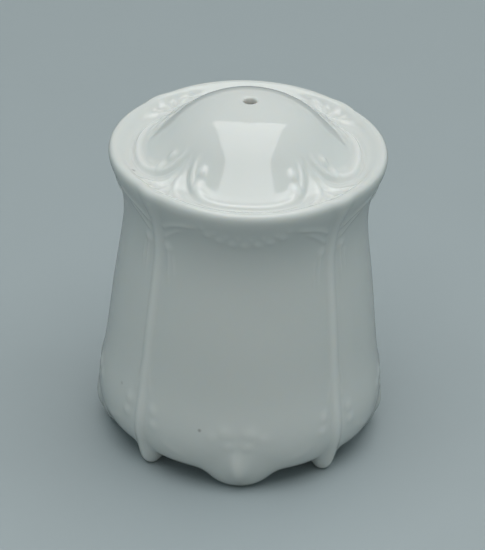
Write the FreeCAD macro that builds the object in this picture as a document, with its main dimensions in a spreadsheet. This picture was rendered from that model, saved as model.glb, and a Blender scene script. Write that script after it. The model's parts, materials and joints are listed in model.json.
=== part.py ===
"""Porcelain salt shaker with a baroque moulded body, and the soft plug that closes its base.

shaker_body   one slip-cast and glazed piece: four bowed panels between four ribs, a flared
              lobed lip, a domed top with one pouring hole and raised scrolls, and eight feet
base_stopper  soft plastic plug that is pulled out downwards to fill the shaker

Frame: millimetres, +Z up, origin on the table under the shaker's axis. The front panel faces
-Y and the ribs stand on the diagonals.
"""

import FreeCAD, Part
import math
import os
import Sketcher

from FreeCAD import Placement, Rotation, Vector

OUTPUT_FOLDER = "parts"
REPEATS = 4
DIAGONAL = 45.0
FIND_TOLERANCE = 0.05
RIB_SIDE = 5.0  # degrees from a rib's crest to a point beside it
KNEE_DIRECTION = (0.94, 0.34)  # from the centre of a scroll's corner to the end of its arc

# name, value in millimetres (or degrees), what it is
SIZES = [
    ("BaseHeight", 2.6, "underside of the body above the table"),
    ("HemHeight", 4.4, "station where the underside turns up into the wall"),
    ("HaunchHeight", 7.5, "station below the widest one"),
    ("BellyHeight", 11.5, "widest station"),
    ("HipHeight", 18.5, "station above the belly"),
    ("WaistHeight", 30.0, "middle station"),
    ("ChestHeight", 42.0, "upper station"),
    ("NeckHeight", 50.5, "narrowest station, and the centre of the cavity's round top"),
    ("ThroatHeight", 55.5, "station where the lip begins to flare"),
    ("FlareHeight", 59.5, "station in the flare"),
    ("BrimHeight", 62.9, "widest station of the lip"),
    ("LipHeight", 64.4, "top of the lip"),
    ("BaseRadius", 23.6, "panel radius at the underside"),
    ("HemRadius", 26.9, "panel radius at the hem"),
    ("HaunchRadius", 28.4, "panel radius at the haunch"),
    ("BellyRadius", 28.7, "panel radius at the belly"),
    ("HipRadius", 27.8, "panel radius at the hip"),
    ("WaistRadius", 26.6, "panel radius at the waist"),
    ("ChestRadius", 25.2, "panel radius at the chest"),
    ("NeckRadius", 24.6, "panel radius at the neck"),
    ("ThroatRadius", 25.3, "panel radius at the throat"),
    ("FlareRadius", 26.8, "panel radius in the flare"),
    ("BrimRadius", 27.9, "panel radius at the brim"),
    ("LipRadius", 26.8, "panel radius at the top of the lip"),
    ("PanelBow", 2.0, "distance of a panel arc's centre from the axis"),
    ("LipBow", 2.6, "the same for the lip's lobes"),
    ("RibRound", 1.2, "radius of a rib's round section"),
    ("FlareRound", 2.4, "rib radius in the flare"),
    ("LobeRound", 6.0, "radius of the small corner lobes of the lip"),
    ("RecessRadius", 25.7, "inner edge of the lip's top"),
    ("RecessSlope", 52.0, "slope of the lip's inner face from the vertical, in degrees"),
    ("RecessRounding", 0.8, "rounding of the lip's inner edge"),
    ("DomeHeight", 74.9, "top of the dome before the pouring hole takes its tip"),
    ("CrownRadius", 22.0, "spherical radius of the dome's crown"),
    ("DomeSlope", 43.5, "slope of the dome's flank, in degrees"),
    ("CoveRadius", 4.6, "concave radius at the dome's foot"),
    ("GutterHeight", 62.6, "bottom of the gutter between dome and lip"),
    ("ScrollRadius", 22.0, "arc of each scroll round the dome's foot"),
    ("ScrollCorner", 5.0, "radius where a scroll turns up the dome"),
    ("ScrollSpread", 25.0, "how far round each side that arc runs, in degrees"),
    ("ScrollTip", 15.5, "distance of the scrolls' tips from the axis, on the diagonals"),
    ("ScrollWidth", 1.3, "width of a scroll"),
    ("ScrollRise", 0.6, "how far the scrolls stand off the dome"),
    ("DomeRoot", 2.0, "how far the dome's solid reaches below the gutter"),
    ("WallThickness", 3.0, "thickness of the wall and of the base plate"),
    ("PourRadius", 1.3, "pouring hole"),
    ("PourRounding", 0.5, "rounding of the pouring hole's edge"),
    ("FillRadius", 8.5, "filling hole in the base"),
    ("FootCircle", 24.0, "distance of the feet from the axis"),
    ("RibFootWidth", 2.5, "half width of a foot under a rib"),
    ("RibFootDepth", 3.0, "half depth of a foot under a rib, along the radius"),
    ("PanelFootWidth", 6.0, "half width of a foot under a panel"),
    ("PanelFootDepth", 3.2, "half depth of a foot under a panel"),
    ("FootRise", 3.4, "half height of every foot before its pad is ground flat"),
    ("PadDepth", 0.25, "how much is ground off the feet to make flat pads"),
    ("PlugClearance", 0.05, "radial gap between the plug and its hole"),
    ("PlugWall", 1.2, "wall of the plug"),
    ("PlugTop", 10.4, "closed inner end of the plug"),
    ("PlugLand", 1.4, "straight length of the plug above the base plate"),
    ("PlugTaper", 0.9, "how much the plug's leading end is narrowed"),
    ("FlangeRadius", 11.6, "flange of the plug"),
    ("FlangeThickness", 1.2, "thickness of that flange"),
    ("FlangeRounding", 0.4, "rounding of the flange's edge"),
    ("SeatGap", 0.05, "gap between the flange and the underside"),
    ("GripWidth", 1.4, "thickness of the bar across the plug's hollow"),
    ("GripHeight", 3.6, "height of that bar"),
]

# from the underside to the top of the lip
STATIONS = (
    "Base",
    "Hem",
    "Haunch",
    "Belly",
    "Hip",
    "Waist",
    "Chest",
    "Neck",
    "Throat",
    "Flare",
    "Brim",
    "Lip",
)
LIP_STATIONS = ("Brim", "Lip")


def make_sheet(doc):
    sheet = doc.addObject("Spreadsheet::Sheet", "Sizes")
    for row, (name, value, note) in enumerate(SIZES, start=1):
        sheet.set(f"A{row}", note)
        sheet.set(f"B{row}", str(value))
        sheet.setAlias(f"B{row}", name)
    doc.recompute()
    return sheet


def size(doc, name):
    return float(doc.getObject("Sizes").get(name))


def origin_plane(body, role):
    return next(feature for feature in body.Origin.OriginFeatures if feature.Role == role)


def new_sketch(body, name, plane="XY_Plane", height=None):
    """Sketch on one of the body's own origin planes, raised by an expression if one is given."""
    sketch = body.newObject("Sketcher::SketchObject", name)
    sketch.AttachmentSupport = (origin_plane(body, plane), [""])
    sketch.MapMode = "FlatFace"
    if height is not None:
        sketch.setExpression("AttachmentOffset.Base.z", height)
    return sketch


def bind(sketch, expression, *constraint):
    """Adds a dimension and drives it from the sheet."""
    index = sketch.addConstraint(Sketcher.Constraint(*constraint))
    sketch.setExpression(f"Constraints[{index}]", expression)


def polar(radius, degrees):
    angle = math.radians(degrees)
    return Vector(radius * math.cos(angle), radius * math.sin(angle), 0)


def circle_crossing(centre_a, radius_a, centre_b, radius_b, towards):
    """The crossing of two circles that lies nearer to a point."""
    gap = centre_b - centre_a
    along = (gap.Length**2 + radius_a**2 - radius_b**2) / (2 * gap.Length)
    across = math.sqrt(radius_a**2 - along**2)
    unit = Vector(gap).normalize()
    side = Vector(-unit.y, unit.x, 0)
    middle = centre_a + unit * along
    return min((middle + side * across, middle - side * across), key=lambda p: (p - towards).Length)


def add_arc(sketch, centre, radius, start, end):
    """Counter-clockwise arc from start to end."""
    angles = [math.atan2(point.y - centre.y, point.x - centre.x) for point in (start, end)]
    circle = Part.Circle(centre, Vector(0, 0, 1), radius)
    return sketch.addGeometry(Part.ArcOfCircle(circle, *angles))


def add_circle(sketch, doc, name):
    circle = sketch.addGeometry(Part.Circle(Vector(0, 0, 0), Vector(0, 0, 1), size(doc, name)))
    sketch.addConstraint(Sketcher.Constraint("Coincident", circle, 3, -1, 1))
    bind(sketch, f"Sizes.{name}", "Radius", circle, size(doc, name))


def add_polygon(sketch, points):
    """Closed polygon; line k runs from points[k] to the next one."""
    count = len(points)
    for k, point in enumerate(points):
        sketch.addGeometry(Part.LineSegment(point, points[(k + 1) % count]))
    for k in range(count):
        sketch.addConstraint(Sketcher.Constraint("Coincident", k, 2, (k + 1) % count, 1))


def station_names(station):
    """Sheet names of a station's panel radius, panel bow and rib radius."""
    if station in LIP_STATIONS:
        return f"{station}Radius", "LipBow", "LobeRound"
    if station == "Flare":
        return f"{station}Radius", "PanelBow", "FlareRound"
    return f"{station}Radius", "PanelBow", "RibRound"


def lobed_outline(sketch, doc, radius_name, bow_name, rib_name):
    """Closed outline of four bowed panel arcs joined by four rib arcs on the diagonals.

    Panel arc k is geometry 2k and the rib arc after it is 2k + 1. Every rib's crest reaches
    the panel radius.
    """
    radius, bow, rib = (size(doc, name) for name in (radius_name, bow_name, rib_name))
    panels = [polar(bow, 90 * k - 90) for k in range(REPEATS)]
    ribs = [polar(radius - rib, 90 * k - DIAGONAL) for k in range(REPEATS)]
    for k in range(REPEATS):
        after = (k + 1) % REPEATS
        crest_before, crest = 90 * k - 90 - DIAGONAL, 90 * k - DIAGONAL
        near_start = polar(radius, crest_before + RIB_SIDE)
        near_end = polar(radius, crest - RIB_SIDE)
        near_onward = polar(radius, crest + RIB_SIDE)
        start = circle_crossing(panels[k], radius - bow, ribs[k - 1], rib, near_start)
        end = circle_crossing(panels[k], radius - bow, ribs[k], rib, near_end)
        onward = circle_crossing(panels[after], radius - bow, ribs[k], rib, near_onward)
        add_arc(sketch, panels[k], radius - bow, start, end)
        add_arc(sketch, ribs[k], rib, end, onward)
    constrain_outline(sketch)
    bind(sketch, f"Sizes.{bow_name}", "DistanceY", 0, 3, -1, 1, bow)
    bind(sketch, f"Sizes.{bow_name}", "DistanceX", -1, 1, 2, 3, bow)
    bind(sketch, f"Sizes.{radius_name} - Sizes.{bow_name}", "Radius", 0, radius - bow)
    bind(sketch, f"Sizes.{rib_name}", "Radius", 1, rib)
    reach = f"(Sizes.{radius_name} - Sizes.{rib_name}) * sqrt(0.5)"
    bind(sketch, reach, "DistanceX", -1, 1, 1, 3, ribs[0].x)
    bind(sketch, reach, "DistanceY", 1, 3, -1, 1, -ribs[0].y)


def constrain_outline(sketch):
    """Joins the eight arcs of a lobed outline and makes it four-fold symmetric."""
    arcs = 2 * REPEATS
    for k in range(arcs):
        sketch.addConstraint(Sketcher.Constraint("Coincident", k, 2, (k + 1) % arcs, 1))
    sketch.addConstraint(Sketcher.Constraint("PointOnObject", 0, 3, -2))
    sketch.addConstraint(Sketcher.Constraint("PointOnObject", 2, 3, -1))
    sketch.addConstraint(Sketcher.Constraint("Symmetric", 0, 3, 4, 3, -1, 1))
    sketch.addConstraint(Sketcher.Constraint("Symmetric", 2, 3, 6, 3, -1, 1))
    sketch.addConstraint(Sketcher.Constraint("Symmetric", 1, 3, 3, 3, -1))
    sketch.addConstraint(Sketcher.Constraint("Symmetric", 1, 3, 5, 3, -1, 1))
    sketch.addConstraint(Sketcher.Constraint("Symmetric", 3, 3, 7, 3, -1, 1))
    for k in (2, 4, 6):
        sketch.addConstraint(Sketcher.Constraint("Equal", 0, k))
        sketch.addConstraint(Sketcher.Constraint("Equal", 1, k + 1))


def add_wall(body, doc):
    """Solid wall, lofted through the lobed stations."""
    sections = []
    for station in STATIONS:
        sketch = new_sketch(body, f"{station}Section", height=f"Sizes.{station}Height")
        lobed_outline(sketch, doc, *station_names(station))
        sections.append(sketch)
    wall = body.newObject("PartDesign::AdditiveLoft", "Wall")
    wall.Profile = sections[0]
    wall.Sections = sections[1:]
    return wall


def add_recess(body, doc):
    """Round recess in the top that leaves the lip standing."""
    sketch = new_sketch(body, "RecessSection", height="Sizes.LipHeight")
    add_circle(sketch, doc, "RecessRadius")
    recess = body.newObject("PartDesign::Pocket", "LipRecess")
    recess.Profile = sketch
    recess.setExpression("Length", "Sizes.LipHeight - Sizes.GutterHeight")
    return recess


def dome_curve(sketch, doc, rise_name=None):
    """Crown, flank and cove of the dome, raised evenly off its surface by rise_name if given.

    Returns the three curves with the crown's top point and the cove's lowest point.
    """
    rise = size(doc, rise_name) if rise_name else 0.0
    plus = f" + Sizes.{rise_name}" if rise_name else ""
    minus = f" - Sizes.{rise_name}" if rise_name else ""
    slope = math.radians(size(doc, "DomeSlope"))
    crown_radius = size(doc, "CrownRadius") + rise
    cove_radius = size(doc, "CoveRadius") - rise
    top = Vector(0, size(doc, "DomeHeight") + rise, 0)
    shoulder = Vector(crown_radius * math.sin(slope), top.y - crown_radius * (1 - math.cos(slope)), 0)
    gutter_height = size(doc, "GutterHeight") + rise
    foot_height = gutter_height + cove_radius * (1 - math.cos(slope))
    foot = Vector(shoulder.x + (shoulder.y - foot_height) / math.tan(slope), foot_height, 0)
    gutter = Vector(foot.x + cove_radius * math.sin(slope), gutter_height, 0)
    crown = add_arc(sketch, Vector(0, top.y - crown_radius, 0), crown_radius, shoulder, top)
    flank = sketch.addGeometry(Part.LineSegment(shoulder, foot))
    cove = add_arc(sketch, gutter + Vector(0, cove_radius, 0), cove_radius, foot, gutter)
    sketch.addConstraint(Sketcher.Constraint("Tangent", crown, 1, flank, 1))
    sketch.addConstraint(Sketcher.Constraint("Tangent", flank, 2, cove, 1))
    sketch.addConstraint(Sketcher.Constraint("PointOnObject", crown, 3, -2))
    sketch.addConstraint(Sketcher.Constraint("PointOnObject", crown, 2, -2))
    bind(sketch, f"Sizes.CrownRadius{plus}", "Radius", crown, crown_radius)
    bind(sketch, f"Sizes.CoveRadius{minus}", "Radius", cove, cove_radius)
    bind(sketch, f"Sizes.DomeHeight{plus}", "DistanceY", -1, 1, crown, 2, top.y)
    bind(sketch, f"Sizes.GutterHeight{plus}", "DistanceY", -1, 1, cove, 2, gutter.y)
    bind(sketch, "-Sizes.DomeSlope", "Angle", flank, -slope)
    return crown, cove, top, gutter


def close_to_axis(sketch, crown, cove, top, gutter, level, expression):
    """Closes a dome curve with a vertical side, a flat end at the given level, and the axis."""
    corner, centre = Vector(gutter.x, level, 0), Vector(0, level, 0)
    side = sketch.addGeometry(Part.LineSegment(gutter, corner))
    end = sketch.addGeometry(Part.LineSegment(corner, centre))
    axis = sketch.addGeometry(Part.LineSegment(centre, top))
    sketch.addConstraint(Sketcher.Constraint("Perpendicular", cove, 2, side, 1))
    sketch.addConstraint(Sketcher.Constraint("Coincident", side, 2, end, 1))
    sketch.addConstraint(Sketcher.Constraint("Coincident", end, 2, axis, 1))
    sketch.addConstraint(Sketcher.Constraint("Coincident", axis, 2, crown, 2))
    sketch.addConstraint(Sketcher.Constraint("Vertical", side))
    sketch.addConstraint(Sketcher.Constraint("Horizontal", end))
    sketch.addConstraint(Sketcher.Constraint("PointOnObject", axis, 1, -2))
    bind(sketch, expression, "DistanceY", -1, 1, axis, 1, level)


def turn(body, kind, name, sketch):
    feature = body.newObject(f"PartDesign::{kind}", name)
    feature.Profile = sketch
    feature.ReferenceAxis = (sketch, ["V_Axis"])
    return feature


def add_dome(body, doc):
    """Dome turned round the axis: spherical crown, straight flank and concave foot."""
    sketch = new_sketch(body, "DomeSection", plane="XZ_Plane")
    curve = dome_curve(sketch, doc)
    root = size(doc, "GutterHeight") - size(doc, "DomeRoot")
    close_to_axis(sketch, *curve, root, "Sizes.GutterHeight - Sizes.DomeRoot")
    turn(body, "Revolution", "Dome", sketch)


def scroll_path(body, doc):
    """Path of one panel's scroll: an arc round the dome's foot, its ends turned up the dome."""
    path = new_sketch(body, "ScrollPath", height="Sizes.GutterHeight")
    around, corner = size(doc, "ScrollRadius"), size(doc, "ScrollCorner")
    spread = math.radians(size(doc, "ScrollSpread"))
    inner = Vector((around - corner) * math.sin(spread), -(around - corner) * math.cos(spread), 0)
    joint = Vector(around * math.sin(spread), -around * math.cos(spread), 0)
    tip = size(doc, "ScrollTip") * math.sqrt(0.5)
    knee = inner + Vector(*KNEE_DIRECTION, 0) * corner
    mirrored = [Vector(-point.x, point.y, 0) for point in (inner, joint, knee)]
    path.addGeometry(Part.LineSegment(Vector(-tip, -tip, 0), mirrored[2]))
    add_arc(path, mirrored[0], corner, mirrored[2], mirrored[1])
    add_arc(path, Vector(0, 0, 0), around, mirrored[1], joint)
    add_arc(path, inner, corner, joint, knee)
    path.addGeometry(Part.LineSegment(knee, Vector(tip, -tip, 0)))
    for k in range(4):
        path.addConstraint(Sketcher.Constraint("Tangent", k, 2, k + 1, 1))
    path.addConstraint(Sketcher.Constraint("Coincident", 2, 3, -1, 1))
    path.addConstraint(Sketcher.Constraint("Symmetric", 2, 1, 2, 2, -2))
    path.addConstraint(Sketcher.Constraint("Equal", 1, 3))
    path.addConstraint(Sketcher.Constraint("Symmetric", 0, 1, 4, 2, -2))
    bind(path, "Sizes.ScrollRadius", "Radius", 2, around)
    bind(path, "Sizes.ScrollCorner", "Radius", 3, corner)
    bind(path, "Sizes.ScrollRadius * sin(Sizes.ScrollSpread)", "DistanceX", -1, 1, 2, 2, joint.x)
    bind(path, "Sizes.ScrollTip * sqrt(0.5)", "DistanceX", -1, 1, 4, 2, tip)
    bind(path, "Sizes.ScrollTip * sqrt(0.5)", "DistanceY", 4, 2, -1, 1, tip)
    return path


def add_scrolls(body, doc):
    """Raised scroll on each quarter of the dome: a tall rib is swept, then turned down to its rise."""
    path = scroll_path(body, doc)
    rib = body.newObject("Sketcher::SketchObject", "ScrollSection")
    rib.AttachmentSupport = (path, ["Edge1"])
    rib.MapMode = "NormalToEdge"
    width, root = size(doc, "ScrollWidth"), size(doc, "DomeRoot")
    tall = size(doc, "DomeHeight") - size(doc, "GutterHeight")
    corners = [(-width / 2, -root), (width / 2, -root), (width / 2, tall), (-width / 2, tall)]
    add_polygon(rib, [Vector(x, y, 0) for x, y in corners])
    for side, constraint in ((1, "Vertical"), (2, "Horizontal"), (3, "Vertical")):
        rib.addConstraint(Sketcher.Constraint(constraint, side))
    rib.addConstraint(Sketcher.Constraint("Symmetric", 0, 1, 0, 2, -2))
    bind(rib, "Sizes.ScrollWidth", "DistanceX", 0, 1, 0, 2, width)
    bind(rib, "Sizes.DomeRoot", "DistanceY", 0, 1, -1, 1, root)
    bind(rib, "Sizes.DomeHeight - Sizes.GutterHeight", "DistanceY", -1, 1, 2, 1, tall)
    sweep = body.newObject("PartDesign::AdditivePipe", "ScrollSweep")
    sweep.Profile = rib
    sweep.Spine = (path, [f"Edge{k}" for k in range(1, 6)])
    repeat_round(body, "Scrolls", [sweep])
    trim = new_sketch(body, "ScrollTrimSection", plane="XZ_Plane")
    curve = dome_curve(trim, doc, "ScrollRise")
    above = size(doc, "DomeHeight") + tall
    close_to_axis(trim, *curve, above, "2 * Sizes.DomeHeight - Sizes.GutterHeight")
    turn(body, "Groove", "ScrollTrim", trim)


def repeat_round(body, name, features):
    """Four-fold pattern of the features round the axis."""
    pattern = body.newObject("PartDesign::PolarPattern", name)
    pattern.Originals = features
    pattern.Axis = (origin_plane(body, "Z_Axis"), [""])
    pattern.Angle = 360
    pattern.Occurrences = REPEATS
    body.Tip = pattern
    return pattern


def add_cavity(body, doc):
    """Turned cavity with a round top, leaving the wall and the base plate."""
    sketch = new_sketch(body, "CavitySection", plane="XZ_Plane")
    wall = size(doc, "WallThickness")
    floor = size(doc, "BaseHeight") + wall
    neck = size(doc, "NeckHeight")
    reach = size(doc, "NeckRadius") - wall
    centre = Vector(0, floor, 0)
    corner = Vector(size(doc, "HemRadius") - wall, floor, 0)
    belly = Vector(size(doc, "BellyRadius") - wall, size(doc, "BellyHeight"), 0)
    spring = Vector(reach, neck, 0)
    crown = Vector(0, neck + reach, 0)
    for start, end in ((centre, corner), (corner, belly), (belly, spring)):
        sketch.addGeometry(Part.LineSegment(start, end))
    add_arc(sketch, Vector(0, neck, 0), reach, spring, crown)
    sketch.addGeometry(Part.LineSegment(crown, centre))
    for k in range(5):
        sketch.addConstraint(Sketcher.Constraint("Coincident", k, 2, (k + 1) % 5, 1))
    sketch.addConstraint(Sketcher.Constraint("Horizontal", 0))
    sketch.addConstraint(Sketcher.Constraint("PointOnObject", 0, 1, -2))
    sketch.addConstraint(Sketcher.Constraint("PointOnObject", 3, 2, -2))
    sketch.addConstraint(Sketcher.Constraint("PointOnObject", 3, 3, -2))
    bind(sketch, "Sizes.BaseHeight + Sizes.WallThickness", "DistanceY", -1, 1, 0, 1, floor)
    bind(sketch, "Sizes.HemRadius - Sizes.WallThickness", "DistanceX", -1, 1, 0, 2, corner.x)
    bind(sketch, "Sizes.BellyRadius - Sizes.WallThickness", "DistanceX", -1, 1, 1, 2, belly.x)
    bind(sketch, "Sizes.BellyHeight", "DistanceY", -1, 1, 1, 2, belly.y)
    bind(sketch, "Sizes.NeckHeight", "DistanceY", -1, 1, 3, 3, neck)
    bind(sketch, "Sizes.NeckHeight", "DistanceY", -1, 1, 2, 2, neck)
    bind(sketch, "Sizes.NeckRadius - Sizes.WallThickness", "Radius", 3, reach)
    turn(body, "Groove", "Cavity", sketch)


def cut_hole(body, doc, name, radius_name, level, depth, upwards=False):
    """Round hole on the axis, cut from a level through a depth; both are expressions."""
    sketch = new_sketch(body, f"{name}Section", height=level)
    add_circle(sketch, doc, radius_name)
    hole = body.newObject("PartDesign::Pocket", name)
    hole.Profile = sketch
    hole.Reversed = upwards
    hole.setExpression("Length", depth)
    return hole


def add_foot(body, doc, name, azimuth):
    """Rounded foot on the foot circle; half of it is sunk in the body's underside."""
    foot = body.newObject("PartDesign::AdditiveEllipsoid", name)
    foot.AttachmentSupport = (origin_plane(body, "XY_Plane"), [""])
    foot.MapMode = "FlatFace"
    direction = polar(1.0, azimuth)
    foot.AttachmentOffset = Placement(Vector(0, 0, 0), Rotation(Vector(0, 0, 1), azimuth))
    foot.setExpression("AttachmentOffset.Base.x", f"Sizes.FootCircle * {direction.x:.9f}")
    foot.setExpression("AttachmentOffset.Base.y", f"Sizes.FootCircle * {direction.y:.9f}")
    foot.setExpression("AttachmentOffset.Base.z", "Sizes.FootRise - Sizes.PadDepth")
    foot.setExpression("Radius1", "Sizes.FootRise")
    foot.setExpression("Radius2", f"Sizes.{name}Depth")
    foot.setExpression("Radius3", f"Sizes.{name}Width")
    return foot


def add_feet(body, doc):
    """Four feet under the ribs, four under the panels, all ground flat at table level."""
    repeat_round(body, "RibFeet", [add_foot(body, doc, "RibFoot", -DIAGONAL)])
    repeat_round(body, "PanelFeet", [add_foot(body, doc, "PanelFoot", -90.0)])
    cut_hole(body, doc, "GroundPads", "BellyRadius", "0", "2 * Sizes.PadDepth")


def circular_edge(shape, radius, height):
    """Name of the full circle round the axis that has the given radius and height."""
    for number, edge in enumerate(shape.Edges, start=1):
        closed = edge.isClosed() and abs(edge.Length - math.tau * radius) < FIND_TOLERANCE
        if closed and abs(edge.CenterOfMass.z - height) < FIND_TOLERANCE:
            return f"Edge{number}"
    raise ValueError(f"no circle of radius {radius} at height {height}")


def round_edges(body, doc, name, edges, radius_name):
    """Fillet on circles given as (radius, height), with its radius driven from the sheet."""
    doc.recompute()
    base = body.Tip
    fillet = body.newObject("PartDesign::Fillet", name)
    fillet.Base = (base, [circular_edge(base.Shape, *edge) for edge in edges])
    fillet.setExpression("Radius", f"Sizes.{radius_name}")
    return fillet


def make_shaker(doc):
    body = doc.addObject("PartDesign::Body", "ShakerBody")
    body.Label = "shaker_body"
    add_wall(body, doc)
    lip_level, drop = "Sizes.LipHeight", "Sizes.LipHeight - Sizes.GutterHeight"
    recess = cut_hole(body, doc, "LipRecess", "RecessRadius", lip_level, drop)
    recess.setExpression("TaperAngle", "-Sizes.RecessSlope")
    add_dome(body, doc)
    add_scrolls(body, doc)
    add_feet(body, doc)
    add_cavity(body, doc)
    through = "2 * Sizes.WallThickness"
    cut_hole(body, doc, "FillingHole", "FillRadius", "Sizes.BaseHeight", through, upwards=True)
    cut_hole(body, doc, "PourHole", "PourRadius", "Sizes.DomeHeight", through)
    crown = size(doc, "CrownRadius")
    pour = size(doc, "PourRadius")
    mouth = size(doc, "DomeHeight") - crown + math.sqrt(crown**2 - pour**2)
    round_edges(body, doc, "PourRounding", [(pour, mouth)], "PourRounding")
    lip = (size(doc, "RecessRadius"), size(doc, "LipHeight"))
    round_edges(body, doc, "LipRounding", [lip], "RecessRounding")
    return body


def plug_outline(doc):
    """Corners of the plug's half section, each as a pair of sheet expressions."""
    hole = "Sizes.FillRadius - Sizes.PlugClearance"
    seat = "Sizes.BaseHeight - Sizes.SeatGap"
    rim = f"{seat} - Sizes.FlangeThickness"
    roof = "Sizes.PlugTop - Sizes.PlugWall"
    shoulder = "Sizes.BaseHeight + Sizes.WallThickness + Sizes.PlugLand"
    return [
        ("0", roof),
        (f"{hole} - Sizes.PlugTaper - Sizes.PlugWall", roof),
        (f"{hole} - Sizes.PlugWall", rim),
        ("Sizes.FlangeRadius", rim),
        ("Sizes.FlangeRadius", seat),
        (hole, seat),
        (hole, shoulder),
        (f"{hole} - Sizes.PlugTaper", "Sizes.PlugTop"),
        ("0", "Sizes.PlugTop"),
    ]


def worth(doc, expression):
    """Value of a sum of sheet names and numbers."""
    total, sign = 0.0, 1.0
    for word in expression.split():
        if word in "+-":
            sign = -1.0 if word == "-" else 1.0
        else:
            total += sign * (size(doc, word[6:]) if word.startswith("Sizes.") else float(word))
    return total


def make_stopper(doc):
    """Hollow plug, open downwards, with a flange under the base and a bar to pull it by."""
    body = doc.addObject("PartDesign::Body", "BaseStopper")
    body.Label = "base_stopper"
    sketch = new_sketch(body, "PlugSection", plane="XZ_Plane")
    corners = plug_outline(doc)
    add_polygon(sketch, [Vector(worth(doc, x), worth(doc, z), 0) for x, z in corners])
    for number, (x, z) in enumerate(corners):
        if x == "0":
            sketch.addConstraint(Sketcher.Constraint("PointOnObject", number, 1, -2))
        else:
            bind(sketch, x, "DistanceX", -1, 1, number, 1, worth(doc, x))
        bind(sketch, z, "DistanceY", -1, 1, number, 1, worth(doc, z))
    turn(body, "Revolution", "Plug", sketch)
    add_grip(body, doc)
    seat = size(doc, "BaseHeight") - size(doc, "SeatGap")
    flange = size(doc, "FlangeRadius")
    edges = [(flange, seat), (flange, seat - size(doc, "FlangeThickness"))]
    round_edges(body, doc, "FlangeEdge", edges, "FlangeRounding")
    return body


def add_grip(body, doc):
    """Bar across the plug's hollow, its ends sunk in the plug's wall."""
    level = "Sizes.BaseHeight - Sizes.SeatGap - Sizes.FlangeThickness + Sizes.FlangeRounding"
    sketch = new_sketch(body, "GripSection", height=level)
    half_width = size(doc, "GripWidth") / 2
    half_length = size(doc, "FillRadius") - size(doc, "PlugWall") / 2
    signs = ((-1, -1), (1, -1), (1, 1), (-1, 1))
    add_polygon(sketch, [Vector(x * half_length, y * half_width, 0) for x, y in signs])
    for side, constraint in enumerate(("Horizontal", "Vertical", "Horizontal", "Vertical")):
        sketch.addConstraint(Sketcher.Constraint(constraint, side))
    sketch.addConstraint(Sketcher.Constraint("Symmetric", 0, 1, 2, 1, -1, 1))
    bind(sketch, "2 * Sizes.FillRadius - Sizes.PlugWall", "DistanceX", 0, 1, 0, 2, 2 * half_length)
    bind(sketch, "Sizes.GripWidth", "DistanceY", 1, 1, 1, 2, 2 * half_width)
    grip = body.newObject("PartDesign::Pad", "Grip")
    grip.Profile = sketch
    grip.setExpression("Length", "Sizes.GripHeight")


def check(doc, bodies):
    """Stops the run if any object failed to compute or any sub-part is empty or broken."""
    doc.recompute()
    failed = [item.Name for item in doc.Objects if {"Invalid", "Error"} & set(item.State)]
    if failed:
        raise RuntimeError(f"these did not compute: {failed}")
    for body in bodies:
        if body.Shape.isNull() or not body.Shape.isValid() or len(body.Shape.Solids) != 1:
            raise RuntimeError(f"{body.Label} is not one valid solid")


def main():
    doc = FreeCAD.newDocument("SaltShaker")
    make_sheet(doc)
    bodies = [make_shaker(doc), make_stopper(doc)]
    check(doc, bodies)
    os.makedirs(OUTPUT_FOLDER, exist_ok=True)
    for body in bodies:
        body.Shape.exportStep(os.path.join(OUTPUT_FOLDER, f"{body.Label}.step"))
    for body in bodies:
        print(body.Label, body.Shape.Volume, body.Shape.optimalBoundingBox(True, False))
    return doc


main()
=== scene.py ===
"""Looks of the porcelain salt shaker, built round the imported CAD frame.

The shaker is one closed grid. Its rows follow the half section from the pouring hole over the
dome, lip, wall and underside, and back up through the cavity. Its columns go round the axis.
The relief is a height field over that grid, and the feet are blended into its lower part. The
plug is a turned cup with a grip bar. Azimuth 0 is the middle of the front panel, which faces -Y.
Lengths are in millimetres until a mesh is made; the stage is in metres.
"""

import json
import math

import bmesh
import bpy
import numpy as np
from mathutils import Matrix, Vector

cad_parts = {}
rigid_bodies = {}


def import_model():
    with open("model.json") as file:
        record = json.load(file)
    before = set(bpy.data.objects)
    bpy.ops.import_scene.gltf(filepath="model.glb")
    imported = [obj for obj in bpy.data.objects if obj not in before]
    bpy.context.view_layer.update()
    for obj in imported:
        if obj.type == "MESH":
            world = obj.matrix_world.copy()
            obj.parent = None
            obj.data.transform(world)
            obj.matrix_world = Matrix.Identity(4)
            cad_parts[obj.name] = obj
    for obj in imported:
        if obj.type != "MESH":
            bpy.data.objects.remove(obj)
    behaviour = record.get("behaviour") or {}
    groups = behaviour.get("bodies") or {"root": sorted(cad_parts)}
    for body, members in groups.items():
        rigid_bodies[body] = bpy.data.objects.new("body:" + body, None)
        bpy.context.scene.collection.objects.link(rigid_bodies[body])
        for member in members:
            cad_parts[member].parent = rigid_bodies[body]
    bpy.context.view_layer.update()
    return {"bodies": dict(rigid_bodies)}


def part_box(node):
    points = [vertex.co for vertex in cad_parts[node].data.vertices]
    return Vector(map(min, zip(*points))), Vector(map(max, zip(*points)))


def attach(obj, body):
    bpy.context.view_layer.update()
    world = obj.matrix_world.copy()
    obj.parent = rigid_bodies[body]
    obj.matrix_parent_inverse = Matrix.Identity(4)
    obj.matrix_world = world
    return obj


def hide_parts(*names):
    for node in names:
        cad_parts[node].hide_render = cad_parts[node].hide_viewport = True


MM = 0.001
QUARTERS = 4
QUARTER_TURN = math.pi / 2
DIAGONAL = math.pi / 4

# ---------------------------------------------------------------- sizes of the shaker

# the dome, the recess round it and the two holes
DOME_TOP = 74.9
CROWN_RADIUS = 22.0
DOME_SLOPE = math.radians(43.5)
COVE_RADIUS = 4.6
GUTTER = 63.0
POUR_RADIUS = 1.3
POUR_ROUND = 0.5
BORE_END_RADIUS = POUR_RADIUS + 0.1
FILL_RADIUS = 8.5
FILL_ROUND = 0.5

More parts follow.
